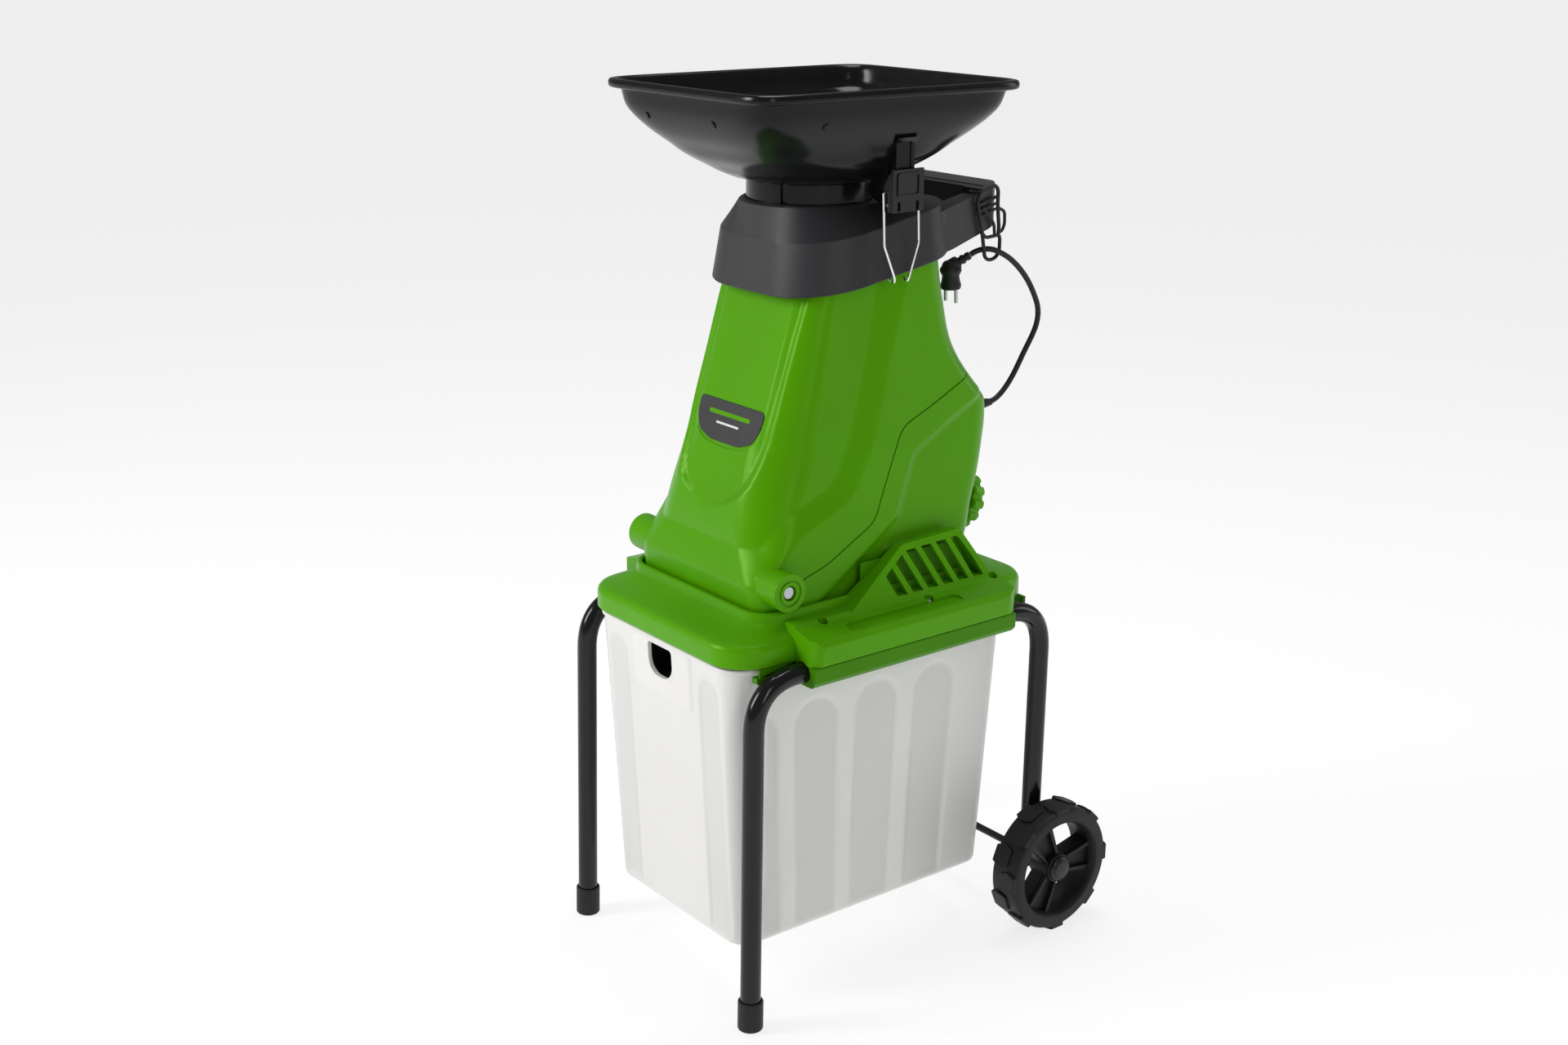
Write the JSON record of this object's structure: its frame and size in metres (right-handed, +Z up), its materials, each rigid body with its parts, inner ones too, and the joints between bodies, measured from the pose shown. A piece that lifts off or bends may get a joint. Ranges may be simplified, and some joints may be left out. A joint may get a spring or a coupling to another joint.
{
  "type": "wood chipper",
  "caption": "Wheeled electric garden chipper: rectangular feed hopper over a tilting chute and motor unit, on a tubular stand with a slide-out bin.",
  "frame": {"origin": "on the floor under the middle of the footprint", "axes": "+Z up, -Y towards the front where the bin pulls out, +X the right-hand side with the visible wheel"},
  "size_m": [0.4818, 0.5698, 1.097],
  "materials": {
    "green": "moulded ABS, satin gloss",
    "green_dark": "moulded ABS, satin gloss, deeper green",
    "black": "smooth glossy black moulding",
    "charcoal": "fine-textured dark grey moulding",
    "bin": "translucent milky polypropylene",
    "tube": "gloss black powder coat",
    "steel": "bright zinc and machined steel",
    "chrome": "bright spring wire",
    "rubber": "soft matt black",
    "wheel": "matt black moulded wheel",
    "gear": "natural nylon",
    "copper": "laminations and windings",
    "red": "glossy red rocker",
    "label": "plain printed plate"
  },
  "bodies": {
    "base": {"base_cover": "green", "base_tray": "green_dark", "deck_plate": "steel", "hinge_bracket_left": "steel", "hinge_bracket_right": "steel", "lock_post": "steel", "frame_tube_left": "tube", "frame_tube_right": "tube", "foot_cap_left": "rubber", "foot_cap_right": "rubber", "axle_rod": "steel", "cover_screw_left_1": "steel", "cover_screw_left_2": "steel", "cover_screw_left_3": "steel", "cover_screw_right_1": "steel", "cover_screw_right_2": "steel", "cover_screw_right_3": "steel"},
    "bin": {"bin_box": "bin", "bin_grip_cup": "black"},
    "wheel_left_body": {"wheel_left": "wheel", "hub_cap_left": "wheel"},
    "wheel_right_body": {"wheel_right": "wheel", "hub_cap_right": "wheel"},
    "upper_unit": {"chute_front_shell": "green", "rear_shell": "green", "pivot_bolt_left": "steel", "pivot_bolt_right": "steel", "feed_funnel": "charcoal", "collar_handle": "charcoal", "feed_hopper": "black", "latch_pin_left": "steel", "latch_pin_right": "steel", "gearbox_plate": "steel", "cutter_bearing": "steel", "motor_housing": "charcoal", "stator_core": "copper", "motor_bearing": "steel", "switch_housing": "charcoal", "label_plate": "label", "mains_cord": "rubber", "cord_gland": "rubber", "mains_plug": "rubber", "cable_holder": "rubber"},
    "cutter": {"cutter_shaft": "steel", "drive_gear": "gear", "blade_disc": "steel", "knife_a": "steel", "knife_b": "steel", "knife_bolt_a": "steel", "knife_bolt_b": "steel"},
    "rotor": {"motor_shaft": "steel", "armature": "copper", "cooling_fan": "charcoal"},
    "knob": {"lock_knob": "green"},
    "lever_left": {"latch_lever_left": "black"},
    "lever_right": {"latch_lever_right": "black"},
    "wire_left": {"latch_wire_left": "chrome"},
    "wire_right": {"latch_wire_right": "chrome"},
    "rocker": {"power_rocker": "red"},
    "reset": {"reset_button": "rubber"}
  },
  "joints": [
    {"name": "bin_slide", "type": "slide", "parent": "base", "child": "bin", "axis": [0, -1, 0], "range_m": [0, 0.4]},
    {"name": "wheel_left_spin", "type": "hinge", "parent": "base", "child": "wheel_left_body", "pos_m": [-0.215, 0.1976, 0.088], "axis": [1, 0, 0], "continuous": true},
    {"name": "wheel_right_spin", "type": "hinge", "parent": "base", "child": "wheel_right_body", "pos_m": [0.215, 0.1976, 0.088], "axis": [1, 0, 0], "continuous": true},
    {"name": "unit_tilt", "type": "hinge", "parent": "base", "child": "upper_unit", "pos_m": [0, -0.1894, 0.529], "axis": [1, 0, 0], "range_deg": [0, 60]},
    {"name": "lock_turn", "type": "hinge", "parent": "base", "child": "knob", "pos_m": [0.063, 0.1426, 0.566], "axis": [0, 0.9532, -0.3024], "range_deg": [0, 720]},
    {"name": "cutter_spin", "type": "hinge", "parent": "upper_unit", "child": "cutter", "pos_m": [0, -0.0104, 0.5], "axis": [0, 0, 1], "continuous": true},
    {"name": "rotor_spin", "type": "hinge", "parent": "upper_unit", "child": "rotor", "pos_m": [0, 0.0521, 0.6], "axis": [0, 0, 1], "continuous": true},
    {"name": "latch_lever_left_swing", "type": "hinge", "parent": "upper_unit", "child": "lever_left", "pos_m": [-0.128, -0.0104, 0.962], "axis": [0, -1, 0], "range_deg": [0, 75]},
    {"name": "latch_lever_right_swing", "type": "hinge", "parent": "upper_unit", "child": "lever_right", "pos_m": [0.128, -0.0104, 0.962], "axis": [0, 1, 0], "range_deg": [0, 75]},
    {"name": "latch_wire_left_swing", "type": "hinge", "parent": "lever_left", "child": "wire_left", "pos_m": [-0.125, -0.0104, 0.977], "axis": [0, -1, 0], "range_deg": [-90, 10]},
    {"name": "latch_wire_right_swing", "type": "hinge", "parent": "lever_right", "child": "wire_right", "pos_m": [0.125, -0.0104, 0.977], "axis": [0, 1, 0], "range_deg": [-90, 10]},
    {"name": "power_rocker_press", "type": "slide", "parent": "upper_unit", "child": "rocker", "axis": [0, -0.8942, -0.4478], "range_m": [0, 0.002], "stiffness_N_per_m": 1200},
    {"name": "reset_press", "type": "slide", "parent": "upper_unit", "child": "reset", "axis": [0, -0.8942, -0.4478], "range_m": [0, 0.002], "stiffness_N_per_m": 1200}
  ],
  "couplings": [
    {"joint": "rotor_spin", "follows": "cutter_spin", "ratio": -4},
    {"joint": "latch_wire_left_swing", "follows": "latch_lever_left_swing", "ratio": -1.15},
    {"joint": "latch_wire_right_swing", "follows": "latch_lever_right_swing", "ratio": -1.15}
  ]
}
